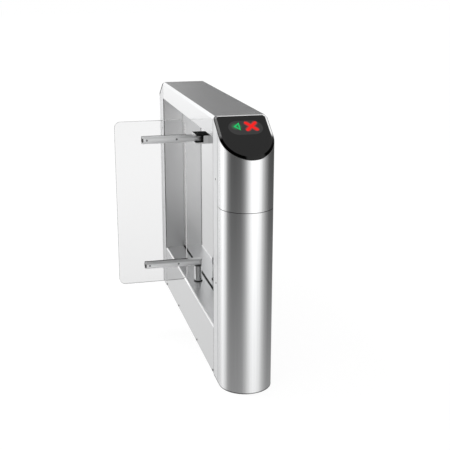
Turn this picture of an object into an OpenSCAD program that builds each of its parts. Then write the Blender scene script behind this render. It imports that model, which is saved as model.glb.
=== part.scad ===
// Swing turnstile: a slim steel cabinet with a recess on the passage side and one glass wing.
// X runs across the cabinet with the passage at -X, Y runs along it, Z is up.
// The origin is on the floor under the cabinet's centre. Lengths are in millimetres.

/* [Cabinet] */
// Overall length of the cabinet
cabinet_l = 1400; // [1350:10:1600]
// Overall width of the cabinet
cabinet_w = 196; // [192:1:220]
// Overall height of the cabinet
cabinet_h = 1000; // [970:5:1100]
// Thickness of the outer sheet
skin_t = 2; // [1.5:0.5:2.5]
// Width of the chamfer along the top
chamfer_w = 7.5; // [5:0.5:10]
// Height of the chamfer along the top
chamfer_h = 10; // [6:0.5:14]
// Length of the flat flank beside the recess
flank_l = 69; // [64:1:90]
// Straight stretch of each nose before its half round
nose_flat = 23; // [15:1:40]
// Distance of each nose's seam below the top
nose_seam_drop = 312; // [250:1:500]
// Width of the outer seams
seam_gap = 1; // [0.6:0.1:1.4]
// Drop of each display slope, from the top to the nose
display_drop = 124; // [100:1:150]

/* [Recess] */
// Height of the recess floor
floor_z = 200; // [198:1:215]
// Height of the beam over the recess
beam_h = 75; // [60:1:85]
// Depth of the recess from the passage side
recess_d = 90; // [86:1:96]
// Width of the black strip at the foot of the back wall
strip_w = 5; // [3:0.5:8]

/* [Wing] */
// Distance from the pivot axis to the glass's inner edge
glass_inner = 49; // [48:1:60]
// Distance from the pivot axis to the glass's outer edge
glass_outer = 341; // [300:1:380]
// Gap between the recess floor and the glass
glass_gap_low = 13.5; // [12:0.5:40]
// Gap between the glass and the beam
glass_gap_high = 17.5; // [12:0.5:40]
// Thickness of the glass
glass_t = 10; // [8:0.5:12]
// Radius of the glass's corners
glass_r = 25; // [10:1:40]
// Diameter of the round arms
arm_d = 34; // [32:1:36]
// Distance from the pivot axis to the arms' free ends
arm_reach = 231; // [200:1:260]
// Height of the lower arm's axis over the recess floor
arm_low = 90; // [84:1:120]
// Distance of the upper arm's axis below the beam
arm_high = 96; // [80:1:140]
// Height of the flat neck at the pivot end of each arm
neck_h = 26; // [22:1:28]
// Distance from the pivot axis to the outer end of the neck
neck_l = 44; // [42:1:46]
// Distance from the pivot axis to the outer and inner arm bolts
bolt_reach = [212, 88];
// Diameter of the lower post
post_d = 31; // [28:1:33]

/* [Upper bracket] */
// Length of the bracket along the cabinet
bracket_l = 74; // [60:1:80]
// Thickness of the bracket's two plates
bracket_t = 5.5; // [4:0.5:8]
// Depth of the block at the bracket's back
bracket_block = 20; // [12:1:21]
// Reach of the plates past the pivot axis towards the passage
bracket_nose = 13; // [11:1:16]
// Diameter of the upper pivot pin
pin_d = 12; // [10:1:14]

/* [Drive] */
// Module of the gear teeth
gear_m = 2; // [2:0.5:2]
// Teeth on the wing gear
gear_teeth = 42; // [42:1:42]
// Teeth on the pinion
pinion_teeth = 14; // [14:1:14]
// Diameter of the drive shaft
shaft_d = 20; // [18:1:22]
// Height of the bridge plate's underside
bridge_z = 112; // [108:1:116]
// Thickness of the bridge plate
bridge_t = 10; // [8:1:12]

/* [Base] */
// Thickness of the base plate
base_t = 6; // [5:1:10]
// Radius of the anchor holes
anchor_r = 7; // [5:0.5:8]
// Spacing of the anchor holes across the cabinet
anchor_x = 110; // [90:2:120]
// Distance of the anchor holes from the cabinet's ends
anchor_end = 140; // [135:1:150]
// Radius of the two cable entries
cable_r = 25; // [15:1:30]

/* [Service door] */
// Height of the door's lower edge
door_z0 = 8; // [7:1:12]
// Radius of the door's rolled rear edge
door_roll_r = 6; // [5:0.5:7]
// Distance of the locks from the front recess wall
lock_y = 30; // [26:1:36]
// Distance of the lower lock above the recess floor, and of the upper lock below the beam
lock_offs = [100, 165];

/* [Hidden] */
$fn = 96;

// Colours as the photograph shows them
steel = "#c9cbcd";
dark_steel = "#8d9093";
black_glass = "#2e2e2e";
rubber_black = "#191919";
clear_glass = [0.92, 0.95, 0.95, 0.35];
board_green = "#1f5c3a";

// Clearances shared by the whole part
over = 1;
fit = 0.2;
run_gap = 0.05;
press_gap = 0.02;
swing_gap = 0.4;

// Heights
ceiling_z = cabinet_h - beam_h;
nose_seam_z = cabinet_h - nose_seam_drop;
glass_z0 = floor_z + glass_gap_low;
glass_z1 = ceiling_z - glass_gap_high;
arm_low_z = floor_z + arm_low;
arm_high_z = ceiling_z - arm_high;
lock_zs = [floor_z + lock_offs[0], ceiling_z - lock_offs[1]];

// Cabinet lengths
half_w = cabinet_w / 2;
in_w = half_w - skin_t;
nose_y = cabinet_l / 2 - half_w;
seam_y = nose_y - nose_flat;
recess_y = seam_y - flank_l;
panel_y = recess_y - seam_gap / 2;
slope_run = cabinet_l / 2 - recess_y;
slope_a = atan(display_drop / slope_run);
return_w = 15;
band_t = 2;
band_h = 40;
panel_bend = 7;
panel_z0 = 3;
rail_w = 25;
rail_t = 2;
rail_in = 46;
back_x = recess_d - half_w;
back_face = back_x + skin_t;
back_flange = 20;
ceiling_t = skin_t;

// Small fasteners
screw_r = 2;
screw_head_r = 4;
screw_l = 7;
screw_share = 0.39;
screw_ys = [-recess_y + return_w, -recess_y * screw_share, recess_y * screw_share, recess_y - return_w];
screw_z = base_t + 6.5;

// Display slope
cover_t = 5;
cover_bevel = 10;
cover_gap = 0.6;
pocket_d = 0.6;
frame_t = 4;
frame_gap = 1.5;
window_in = 36;
window_w = cabinet_w - window_in * 2;
window_h = 71;
window_u = 6;
window_v = 71;
nose_steps = 36;
board_t = 1.6;
board_edge = 8;
led_gap = 0.5;
arrow_w = 23;
arrow_h = 40;
arrow_u = -37;
arrow_v = 64;
arrow_line = 4.5;
cross_w = 46;
cross_h = 48;
cross_u = 28;
cross_v = 65;
cross_line = 9.5;
reader_w = 84;
reader_l = 54;
reader_t = 12;
reader_v = 146;

// Flank sensors: distance past the recess wall and height, the upper one below the top
sensor_r = 4;
sensor_body_r = 9;
sensor_body_l = 24;
sensor_lift = 0.3;
sensor_offs = [[40, 219], [43, 190]];
sensor_spots = [[sensor_offs[0][0], cabinet_h - sensor_offs[0][1]],
    [sensor_offs[1][0], floor_z + sensor_offs[1][1]]];

// Wing
pivot_x = back_x - 40;
slot_t = glass_t + 3;
liner_t = (slot_t - glass_t) / 2;
slot_end = neck_l + 2;
liner_h = 31;
bolt_r = 3;
bolt_head_r = 4;
bolt_head_t = 4;
bolt_sink = 12.5;
bolt_tip = 14;
bolt_hex_r = 2.2;
bolt_hex_d = 2.4;
glass_hole_r = 4;
bush_r = pin_d / 2 + 3;
bush_flange_r = 12;
bush_flange_t = 0.8;
post_r = post_d / 2;
post_z0 = 186;
spigot_h = 18;
bracket_in = neck_h / 2 + bush_flange_t + swing_gap;
bracket_out = bracket_in + bracket_t;
bracket_screw_r = 3;
bracket_screw_y = 27;
bracket_nut_t = 5;
bracket_nut_r = 6;

// Collar in the recess floor
collar_r = 19;
collar_t = 4;
collar_neck_r = 17.4;
collar_neck_l = 10;

// Drive
shaft_r = shaft_d / 2;
gear_r = gear_m * gear_teeth / 2;
pinion_r = gear_m * pinion_teeth / 2;
motor_x = pivot_x + gear_r + pinion_r;
pressure_a = 20;
tip_share = 0.9;
root_share = 1.3;
backlash = 0.35;
gear_z = bridge_z + bridge_t + 4;
gear_t = 14;
hub_r = 20;
hub_t = 10;
pinion_shaft_r = 6;
pinion_shaft_in = 8;
stop_z = gear_z + gear_t + hub_t + 4;
stop_t = 12;
stop_reach = 70;
stop_w = 16;
stop_hub_r = 18;
stop_block_y = 48;
stop_block_l = 20;
stop_block_w = 16;
bumper_t = 6;
bumper_edge = 2;
bumper_gap = 0.5;
disc_r = 34;
disc_t = 2;
disc_z = stop_z + stop_t + 6;
disc_hub_r = 16;
disc_hub_t = 8;
disc_slot_w = 4;
disc_slot_l = 8;
fork_l = 22;
fork_w = 14;
fork_gap = 1.5;
fork_jaw = 3;
fork_bite = 12;
sensor_plate_t = 4;
sensor_plate_w = 24;
sensor_plate_x = motor_x + 32;
sensor_plate_z = disc_z + 14;
bridge_x0 = 44;
bridge_x1 = 44;
bridge_y = 80;
bridge_post_r = 9;
bridge_post_in = 12;
post_gaps = [1.8, 1];
bearing_r = 21;
bearing_t = 12;
bearing_zs = [46, 94];
bearing_groove = 1;
bearing_race = 3.5;
cartridge_r = 26;
cartridge_z0 = 40;
cartridge_core_r = 18;
cartridge_flange_r = 30;
cartridge_flange_t = 6;
shaft_z0 = 36;
collar_step = 2;
gearbox_r = 25;
gearbox_h = 32;
motor_r = 22;
motor_h = 40;
encoder_r = 18;
encoder_h = 8;

// Service door
door_z1 = ceiling_z - seam_gap;
door_ret_z0 = door_z0 + return_w;
door_ret_z1 = ceiling_z - 15;
door_gap = 0.8;
roll_x = half_w - door_roll_r;
roll_y = recess_y - door_gap / 2 - door_roll_r;
roll_z0 = 22;
roll_z1 = ceiling_z - 22;
door_pin_r = 3;
door_pin_in = 26;
door_notch = 8;
pivot_lug_t = 12;
pivot_lug_in = 12;
pivot_lug_out = 5.5;
lock_r = 8;
lock_head_r = 11;
lock_head_t = 1.6;
lock_body_l = 18;
cam_t = 3;
cam_w = 14;
cam_l = 40;
cam_screw_r = 4;
cam_screw_t = 3;
key_w = 6;
key_t = 1.4;
key_d = 4;
cam_x = in_w - lock_body_l;
slot_h0 = 30;
slot_h1 = 12;

// Electronics bay
plate_l = 420;
plate_share = 0.414;
plate_h = (ceiling_z - floor_z) * plate_share;
plate_up = 200;
plate_z = floor_z + plate_up;
standoff_r = 3.5;
standoff_l = 8;
pcb_l = 170;
pcb_h = 120;
pcb_y = -100;
pcb_inset = 6;
psu_l = 98;
psu_h = 160;
psu_d = 42;
psu_y = 110;
relay_w = 20;
relay_h = 15;
plug_d = 12;
vent_w = 3;
vent_l = 60;
vent_d = 1.5;
vents = 9;
cable_slot_w = 30;
cable_slot_h = 60;
cable_slot_x = 40;
cable_drop = 75;
cable_slot_z = ceiling_z - cable_drop;
cable_in = 210;
cable_y = recess_y - cable_in;

function arc(x, y, r, a0, a1, n) =
    [for (i = [0 : n]) [x + r * cos(a0 + (a1 - a0) * i / n), y + r * sin(a0 + (a1 - a0) * i / n)]];

// Gear tooth flank: half angle of the tooth at radius q, from the involute of the base circle
function inv(a) = tan(a) * 180 / PI - a;
function tooth_half(r, q, s) = let (b = r * cos(pressure_a))
    s / r / 2 * 180 / PI + inv(pressure_a) - (q > b ? inv(acos(b / q)) : 0);
function tooth(r, m, a) = let (
    s = PI * m / 2 - backlash / 2,
    q0 = r - m * root_share,
    q3 = r + m * tip_share,
    qs = [q0, max(q0, r * cos(pressure_a)), r, q3])
    concat([for (i = [0 : 3]) let (h = tooth_half(r, qs[i], s))
            [qs[i] * cos(a - h), qs[i] * sin(a - h)]],
        [for (i = [3 : -1 : 0]) let (h = tooth_half(r, qs[i], s))
            [qs[i] * cos(a + h), qs[i] * sin(a + h)]]);
function gear_points(r, m, n, turn) =
    [for (k = [0 : n - 1]) each tooth(r, m, turn + k * 360 / n)];

module box(x0, x1, y0, y1, z0, z1) {
    translate([x0, y0, z0]) cube([x1 - x0, y1 - y0, z1 - z0]);
}

module rod(r, z0, z1) {
    translate([0, 0, z0]) cylinder(r = r, h = z1 - z0);
}

// Upright tube whose outside and bore are true cylinders
module sleeve(r, bore, z0, z1) {
    difference() {
        rod(r, z0, z1);
        rod(bore, z0 - over, z1 + over);
    }
}

// Builds its children at the front end, or turned round to the rear end
module at_rear() {
    rotate([0, 0, 180]) children();
}

module both_ends() {
    children();
    at_rear() children();
}

module mirrored_ends() {
    children();
    mirror([0, 1, 0]) children();
}

// Plan outline of the cabinet: straight sides with half-round noses
module outline(inset) {
    square([cabinet_w - inset * 2, nose_y * 2], center = true);
    for (s = [-1, 1]) translate([0, s * nose_y]) circle(r = half_w - inset);
}

// Cross-section of the cabinet with its top chamfers, open upwards past the top
module section(inset, z0, top) {
    w = half_w - inset;
    polygon([[-w, z0], [w, z0], [w, cabinet_h - chamfer_h], [w - chamfer_w, cabinet_h - inset],
        [w - chamfer_w, top], [chamfer_w - w, top], [chamfer_w - w, cabinet_h - inset],
        [-w, cabinet_h - chamfer_h]]);
}

module along_y(y0, y1) {
    translate([0, y1, 0]) rotate([90, 0, 0]) linear_extrude(height = y1 - y0) children();
}

// Frame of the front display slope: local X across, local -Y down the slope, local Z out of it
module on_slope() {
    translate([0, -recess_y, cabinet_h]) rotate([slope_a, 0, 0]) children();
}

module slope_cut(lift = 0) {
    on_slope() translate([-cabinet_w, -cabinet_l, lift]) cube([cabinet_w * 2, cabinet_l, cabinet_h]);
}

module below_floor_room() {
    translate([0, 0, -over]) linear_extrude(height = base_t + over) outline(skin_t);
}

module sensor_places(r, x0, x1) {
    for (p = sensor_spots) translate([x0, -recess_y - p[0], p[1]]) rotate([0, 90, 0])
        cylinder(r = r, h = x1 - x0);
}

// Front column: flat flanks, the recess end wall and the return flanges at the nose seam
module column(locks) {
    difference() {
        union() {
            difference() {
                along_y(-seam_y, -recess_y) section(0, 0, cabinet_h);
                along_y(-seam_y - over, -recess_y - skin_t) section(skin_t, -over, cabinet_h + over);
            }
            for (s = [-1, 1]) box(min(s * in_w, s * (in_w - return_w)) - (s < 0 ? skin_t / 2 : 0),
                max(s * in_w, s * (in_w - return_w)) + (s > 0 ? skin_t / 2 : 0),
                -seam_y, -seam_y + skin_t, base_t, cabinet_h);
        }
        below_floor_room();
        slope_cut();
        sensor_places(sensor_r, -half_w - over, -in_w + over);
        box(cable_slot_x - cable_slot_w / 2, cable_slot_x + cable_slot_w / 2,
            -recess_y - skin_t - over, -recess_y + over, cable_slot_z, cable_slot_z + cable_slot_h);
        if (locks) for (z = lock_zs) box(cam_x - cam_t - over, cam_x + over,
            -recess_y - skin_t - over, -recess_y + over, z - slot_h0, z + slot_h1);
    }
}

module front_column() {
    color(steel) column(true);
}

module rear_column() {
    color(steel) mirror([0, 1, 0]) column(false);
}

// Nose shell between two heights, with return flanges that meet the column's
module nose(z0, z1) {
    y = -seam_y - seam_gap;
    difference() {
        translate([0, 0, z0]) linear_extrude(height = z1 - z0) {
            difference() {
                outline(0);
                outline(skin_t);
                translate([-cabinet_w, y]) square([cabinet_w * 2, cabinet_l]);
            }
            for (s = [-1, 1]) translate([s * (in_w - return_w / 2 + skin_t / 4), y - skin_t / 2])
                square([return_w + skin_t / 2, skin_t], center = true);
        }
        below_floor_room();
        slope_cut();
    }
}

module front_nose_lower() {
    color(steel) nose(0, nose_seam_z - seam_gap);
}

module front_nose_upper() {
    color(steel) nose(nose_seam_z + seam_gap, cabinet_h);
}

module rear_nose_lower() {
    color(steel) at_rear() nose(0, nose_seam_z - seam_gap);
}

module rear_nose_upper() {
    color(steel) at_rear() nose(nose_seam_z + seam_gap, cabinet_h);
}

// Bands that bridge the nose seams from the inside
module seam_bands() {
    color(dark_steel) both_ends() translate([0, 0, nose_seam_z - band_h / 2])
        linear_extrude(height = band_h) difference() {
            outline(skin_t + fit);
            outline(skin_t + fit + band_t);
            translate([-cabinet_w, -seam_y - seam_gap - skin_t - fit])
                square([cabinet_w * 2, cabinet_l]);
        }
}

module base_plate() {
    color(dark_steel) difference() {
        linear_extrude(height = base_t) outline(skin_t + fit);
        for (x = [-1, 1], y = [-1, 1]) translate([x * anchor_x / 2, y * (cabinet_l / 2 - anchor_end), 0])
            rod(anchor_r, -over, base_t + over);
        for (y = [-1, 1]) translate([0, y * cable_y, 0]) rod(cable_r, -over, base_t + over);
    }
}

// Beam cover over the recess, folded down on both sides
module top_cover() {
    color(steel) difference() {
        along_y(-panel_y, panel_y) section(0, ceiling_z, cabinet_h);
        along_y(-cabinet_l, cabinet_l) section(skin_t, ceiling_z - over, cabinet_h - skin_t);
    }
}

module recess_ceiling() {
    color(steel) box(-in_w + fit, back_x, -recess_y, recess_y, ceiling_z, ceiling_z + ceiling_t);
}

module back_wall() {
    color(steel) difference() {
        union() {
            box(back_x, back_face, -recess_y, recess_y, floor_z - skin_t * 2,
                ceiling_z + ceiling_t);
            box(back_x - back_flange, back_face, -recess_y, recess_y,
                floor_z - skin_t * 2, floor_z - skin_t);
        }
        for (y = [-1, 1]) translate([back_x - over, y * bracket_screw_y, arm_high_z])
            rotate([0, 90, 0]) cylinder(r = bracket_screw_r + fit, h = skin_t + over * 2);
    }
}

// Lower side panel and recess floor, bent from one sheet
module lower_cover() {
    b = panel_bend;
    xi = -in_w;
    zi = floor_z - skin_t;
    color(steel) difference() {
        along_y(-panel_y, panel_y) polygon(concat(
            [[-half_w, panel_z0], [xi, panel_z0]],
            arc(xi + b - skin_t, zi - b + skin_t, b - skin_t, 180, 90, 8),
            [[back_x - strip_w, zi], [back_x - strip_w, floor_z]],
            arc(-half_w + b, floor_z - b, b, 90, 180, 8)));
        translate([pivot_x, 0, 0]) rod(collar_neck_r + fit, floor_z - skin_t - over, floor_z + over);
        for (y = screw_ys) translate([-half_w, y, screw_z]) rotate([0, 90, 0]) {
            translate([0, 0, -over]) cylinder(r = screw_r + fit, h = skin_t + over * 2);
            translate([0, 0, -over]) cylinder(r = screw_head_r + fit, h = skin_t / 2 + over);
        }
    }
}

module floor_strip() {
    color(rubber_black) box(back_x - strip_w + fit, back_x, -recess_y, recess_y,
        floor_z - skin_t, floor_z + fit);
}

module square_tube(x0, z0) {
    difference() {
        box(x0, x0 + rail_w, -recess_y, recess_y, z0, z0 + rail_w);
        box(x0 + rail_t, x0 + rail_w - rail_t, -recess_y - over, recess_y + over,
            z0 + rail_t, z0 + rail_w - rail_t);
    }
}

module top_rails() {
    color(dark_steel) {
        square_tube(-in_w + fit, ceiling_z + ceiling_t);
        square_tube(in_w - fit - rail_w, ceiling_z + ceiling_t);
    }
}

module sill_rails() {
    color(dark_steel) difference() {
        union() {
            square_tube(-in_w + fit, base_t);
            square_tube(in_w - rail_in, base_t);
        }
        for (y = screw_ys) translate([-in_w, y, screw_z]) rotate([0, 90, 0])
            cylinder(r = screw_r + fit, h = screw_l);
    }
}

module panel_screws() {
    color(dark_steel) for (y = screw_ys) translate([-half_w, y, screw_z]) rotate([0, 90, 0])
        difference() {
            union() {
                cylinder(r = screw_head_r, h = skin_t / 2);
                cylinder(r = screw_r, h = screw_l);
            }
            translate([0, 0, -over]) cylinder(r = screw_r / 2, h = over + skin_t / 2, $fn = 6);
        }
}

module stadium(w, h) {
    square([w - h, h], center = true);
    for (s = [-1, 1]) translate([s * (w - h) / 2, 0]) circle(r = h / 2);
}

// Outline of the display slope in its own plane, where the nose's half round is an ellipse
module slope_outline(inset) {
    w = half_w - inset;
    v1 = (nose_y - recess_y) / cos(slope_a);
    c = chamfer_h / tan(slope_a) / cos(slope_a);
    polygon(concat([[chamfer_w - w, -inset], [-w, -max(c, inset)], [-w, -v1]],
        [for (i = [1 : nose_steps - 1]) let (a = 180 + i * 180 / nose_steps)
            [w * cos(a), -v1 + w / cos(slope_a) * sin(a)]],
        [[w, -v1], [w, -max(c, inset)], [w - chamfer_w, -inset]]));
}

module arrow_shape() {
    difference() {
        polygon([[0, 0], [arrow_w, arrow_h / 2], [arrow_w, -arrow_h / 2]]);
        polygon([[arrow_line * 2, 0], [arrow_w - arrow_line, arrow_h / 2 - arrow_line * 2],
            [arrow_w - arrow_line, arrow_line * 2 - arrow_h / 2]]);
    }
}

module cross_shape() {
    a = atan(cross_h / cross_w);
    l = norm([cross_w, cross_h]) - cross_line / 2;
    for (s = [-1, 1]) rotate(s * a) stadium(l, cross_line);
}

module arrow_place() {
    translate([arrow_u, -arrow_v, cover_t - pocket_d]) children();
}

module cross_place() {
    translate([cross_u, -cross_v, cover_t - pocket_d]) children();
}

module display_cover() {
    on_slope() difference() {
        hull() {
            linear_extrude(height = fit) slope_outline(cover_gap);
            translate([0, 0, cover_t - fit]) linear_extrude(height = fit) slope_outline(cover_bevel);
        }
        arrow_place() linear_extrude(height = over) arrow_shape();
        cross_place() linear_extrude(height = over) cross_shape();
    }
}

module front_display_cover() {
    color(black_glass) display_cover();
}

module rear_display_cover() {
    color(black_glass) at_rear() display_cover();
}

module window_place() {
    translate([window_u, -window_v, -frame_t]) children();
}

// Plate under each display cover, with the window for its LED board
module display_frames() {
    color(rubber_black) both_ends() on_slope() difference() {
        translate([0, 0, -frame_t]) linear_extrude(height = frame_t)
            slope_outline(skin_t + return_w + frame_gap);
        window_place() translate([0, 0, -over]) linear_extrude(height = frame_t + over * 2)
            stadium(window_w, window_h);
    }
}

module led_boards() {
    color(board_green) both_ends() on_slope() window_place() {
        translate([0, 0, -board_t]) linear_extrude(height = board_t)
            square([window_w + board_edge * 2, window_h + board_edge * 2], center = true);
        linear_extrude(height = frame_t - led_gap) stadium(window_w - fit * 2, window_h - fit * 2);
    }
}

module arrow_lights() {
    color("#2fbf6b") both_ends() on_slope() arrow_place()
        linear_extrude(height = pocket_d) arrow_shape();
}

module cross_lights() {
    color("#e0241e") both_ends() on_slope() cross_place()
        linear_extrude(height = pocket_d) cross_shape();
}

module card_readers() {
    color(rubber_black) both_ends() on_slope() translate([0, -reader_v, -frame_t - reader_t / 2])
        cube([reader_w, reader_l, reader_t], center = true);
}

module sensor_lenses() {
    color(rubber_black) mirrored_ends()
        sensor_places(sensor_r - press_gap, -half_w - sensor_lift, -in_w);
}

module sensor_bodies() {
    color(dark_steel) mirrored_ends()
        sensor_places(sensor_body_r, -in_w, -in_w + sensor_body_l);
}

// Clevis on the back wall that holds the upper pivot pin
module upper_bracket() {
    x0 = pivot_x - bracket_nose;
    color(steel) translate([0, 0, arm_high_z]) difference() {
        box(x0, back_x, -bracket_l / 2, bracket_l / 2, -bracket_out, bracket_out);
        box(x0 - over, back_x - bracket_block, -bracket_l, bracket_l, -bracket_in, bracket_in);
        translate([pivot_x, 0, 0]) rod(pin_d / 2 + press_gap, -bracket_out - over,
            bracket_out + over);
        for (y = [-1, 1]) translate([back_x - bracket_block / 2, y * bracket_screw_y, 0])
            rotate([0, 90, 0]) cylinder(r = bracket_screw_r, h = bracket_block);
    }
}

module bracket_screws() {
    color(dark_steel) for (y = [-1, 1])
        translate([back_x - bracket_block / 2, y * bracket_screw_y, arm_high_z])
            rotate([0, 90, 0]) {
                cylinder(r = bracket_screw_r - press_gap,
                    h = bracket_block / 2 + skin_t + bracket_nut_t);
                translate([0, 0, bracket_block / 2 + skin_t])
                    cylinder(r = bracket_nut_r, h = bracket_nut_t);
            }
}

module upper_pivot_pin() {
    color(dark_steel) translate([pivot_x, 0, arm_high_z]) rod(pin_d / 2, -bracket_out, bracket_out);
}

// Black guide bush where the post passes the recess floor
module post_collar() {
    color(rubber_black) translate([pivot_x, 0, 0]) difference() {
        union() {
            rod(collar_r, floor_z, floor_z + collar_t - over);
            rod(collar_r - over, floor_z, floor_z + collar_t);
            rod(collar_neck_r, floor_z - collar_neck_l, floor_z + over);
        }
        rod(post_r + run_gap, floor_z - collar_neck_l - over, floor_z + collar_t + over);
    }
}

// Outline of a gear with its bore, as a solid between two heights
module gear(r, n, turn, z0) {
    translate([0, 0, z0]) linear_extrude(height = gear_t)
        polygon(gear_points(r, gear_m, n, turn));
}

module wing_gear() {
    color(dark_steel) translate([pivot_x, 0, 0]) difference() {
        union() {
            gear(gear_r, gear_teeth, 0, gear_z);
            rod(hub_r, gear_z + gear_t, gear_z + gear_t + hub_t);
        }
        rod(shaft_r + press_gap, gear_z - over, gear_z + gear_t + hub_t + over);
    }
}

module drive_pinion() {
    color(dark_steel) translate([motor_x, 0, 0]) {
        gear(pinion_r, pinion_teeth, 180 + 180 / pinion_teeth, gear_z);
        rod(pinion_shaft_r, bridge_z - pinion_shaft_in, gear_z);
    }
}

module drive_bridge() {
    color(dark_steel) difference() {
        box(pivot_x - bridge_x0, motor_x + bridge_x1, -bridge_y, bridge_y,
            bridge_z, bridge_z + bridge_t);
        translate([pivot_x, 0, 0]) rod(shaft_r + over, bridge_z - over, bridge_z + bridge_t + over);
        translate([motor_x, 0, 0]) rod(pinion_shaft_r + over, bridge_z - over,
            bridge_z + bridge_t + over);
    }
}

module bridge_posts() {
    x0 = rail_w + bridge_post_r + post_gaps[0] + fit - in_w;
    x1 = in_w - rail_in - bridge_post_r - post_gaps[1];
    color(dark_steel) for (x = [x0, x1], y = [-1, 1])
        translate([x, y * (bridge_y - bridge_post_in), 0]) rod(bridge_post_r, base_t, bridge_z);
}

module bearing_cartridge() {
    z1 = bridge_z;
    color(dark_steel) translate([pivot_x, 0, 0]) difference() {
        union() {
            rod(cartridge_r, cartridge_z0, z1);
            rod(cartridge_flange_r, z1 - cartridge_flange_t, z1);
        }
        rod(cartridge_core_r, cartridge_z0 - over, z1 + over);
        rod(bearing_r + press_gap, cartridge_z0 - over, bearing_zs[0] + bearing_t);
        rod(bearing_r + press_gap, bearing_zs[1], z1 + over);
    }
}

// Ball bearings, each a ring with its shield grooves
module shaft_bearings() {
    color(steel) for (z = bearing_zs) translate([pivot_x, 0, z]) difference() {
        rod(bearing_r, 0, bearing_t);
        rod(shaft_r + run_gap, -over, bearing_t + over);
        for (g = [-over, bearing_t - bearing_groove])
            sleeve(bearing_r - bearing_race, shaft_r + bearing_race, g, g + over + bearing_groove);
    }
}

module drive_shaft() {
    color(steel) translate([pivot_x, 0, 0]) {
        rod(shaft_r, shaft_z0, arm_low_z - neck_h / 2 + spigot_h);
        rod(shaft_r + collar_step, bearing_zs[0] + bearing_t + swing_gap, bearing_zs[1] - swing_gap);
    }
}

module gearbox() {
    z0 = bridge_z - gearbox_h;
    color(steel) translate([motor_x, 0, 0]) difference() {
        rod(gearbox_r, z0, bridge_z);
        rod(pinion_shaft_r + run_gap, bridge_z - pinion_shaft_in - swing_gap, bridge_z + over);
    }
}

module drive_motor() {
    z1 = bridge_z - gearbox_h;
    color(rubber_black) translate([motor_x, 0, 0]) {
        rod(motor_r, z1 - motor_h, z1);
        rod(encoder_r, z1 - motor_h - encoder_h, z1 - motor_h);
    }
}

// Finger on the drive shaft that meets a bumper at each end of the swing
module stop_arm() {
    color(dark_steel) translate([pivot_x, 0, 0]) difference() {
        union() {
            rod(stop_hub_r, stop_z, stop_z + stop_t);
            box(0, stop_reach, -stop_w / 2, stop_w / 2, stop_z, stop_z + stop_t);
        }
        rod(shaft_r + press_gap, stop_z - over, stop_z + stop_t + over);
    }
}

bumper_x1 = pivot_x - stop_w / 2 - bumper_gap;
bumper_x0 = bumper_x1 - bumper_t;

module stop_blocks() {
    color(dark_steel) mirrored_ends() box(bumper_x0 - stop_block_w, bumper_x0, stop_block_y,
        stop_block_y + stop_block_l, bridge_z + bridge_t, stop_z + stop_t + bumper_edge);
}

module stop_bumpers() {
    color(rubber_black) mirrored_ends() box(bumper_x0, bumper_x1, stop_block_y + bumper_edge,
        stop_block_y + stop_block_l - bumper_edge, stop_z - bumper_edge, stop_z + stop_t);
}

module position_disc() {
    color(steel) translate([pivot_x, 0, 0]) difference() {
        union() {
            rod(disc_r, disc_z, disc_z + disc_t);
            rod(disc_hub_r, disc_z - disc_hub_t / 2, disc_z + disc_hub_t / 2);
        }
        rod(shaft_r + press_gap, disc_z - disc_hub_t, disc_z + disc_hub_t);
        for (a = [-90, 0, 90]) rotate(a) box(disc_r - disc_slot_l, disc_r + over,
            -disc_slot_w / 2, disc_slot_w / 2, disc_z - over, disc_z + disc_t + over);
    }
}

module position_sensor() {
    x0 = pivot_x + disc_r - fork_bite;
    color(rubber_black) difference() {
        box(x0, x0 + fork_l, -fork_w / 2, fork_w / 2, disc_z - fork_gap - fork_jaw, sensor_plate_z);
        box(x0 - over, x0 + fork_bite + fork_gap, -fork_w, fork_w,
            disc_z - fork_gap, disc_z + disc_t + fork_gap);
    }
}

module sensor_bracket() {
    color(dark_steel) {
        box(sensor_plate_x, sensor_plate_x + sensor_plate_t, -sensor_plate_w / 2, sensor_plate_w / 2,
            bridge_z + bridge_t, sensor_plate_z + sensor_plate_t);
        box(pivot_x + disc_r - fork_bite, sensor_plate_x + sensor_plate_t, -sensor_plate_w / 2,
            sensor_plate_w / 2, sensor_plate_z, sensor_plate_z + sensor_plate_t);
    }
}

module drive_post() {
    color(steel) translate([pivot_x, 0, 0])
        sleeve(post_r, shaft_r + press_gap, post_z0, arm_low_z - neck_h / 2);
}

// Round arm with the slot for the glass, the flat neck and the bolt holes, along -X from its axis
module arm_blank() {
    difference() {
        translate([-arm_reach, 0, 0]) rotate([0, 90, 0])
            cylinder(r = arm_d / 2, h = arm_reach + arm_d / 2);
        difference() {
            box(0, arm_d, -arm_d, arm_d, -arm_d, arm_d);
            rod(arm_d / 2, -arm_d - over, arm_d + over);
        }
        for (s = [-1, 1]) translate([-neck_l, -arm_d, s > 0 ? neck_h / 2 : -arm_d - neck_h / 2])
            cube([neck_l + arm_d, arm_d * 2, arm_d]);
        box(-arm_reach - over, -slot_end, -slot_t / 2, slot_t / 2, -arm_d, arm_d);
        for (b = bolt_reach) translate([-b, 0, 0]) rotate([-90, 0, 0]) {
            translate([0, 0, -arm_d]) cylinder(r = bolt_r + fit, h = arm_d + bolt_tip + fit);
            translate([0, 0, -arm_d]) cylinder(r = bolt_head_r + fit, h = arm_d - bolt_sink);
        }
    }
}

module upper_arm() {
    color(steel) translate([pivot_x, 0, arm_high_z]) difference() {
        arm_blank();
        rod(bush_r + press_gap, -arm_d, arm_d);
    }
}

module lower_arm() {
    color(steel) translate([pivot_x, 0, arm_low_z]) difference() {
        arm_blank();
        rod(shaft_r + press_gap, -arm_d, spigot_h - neck_h / 2);
    }
}

module wing_bolt_holes(r) {
    for (z = [arm_low_z, arm_high_z], b = bolt_reach) translate([pivot_x - b, arm_d, z])
        rotate([90, 0, 0]) cylinder(r = r, h = arm_d * 2);
}

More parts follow.
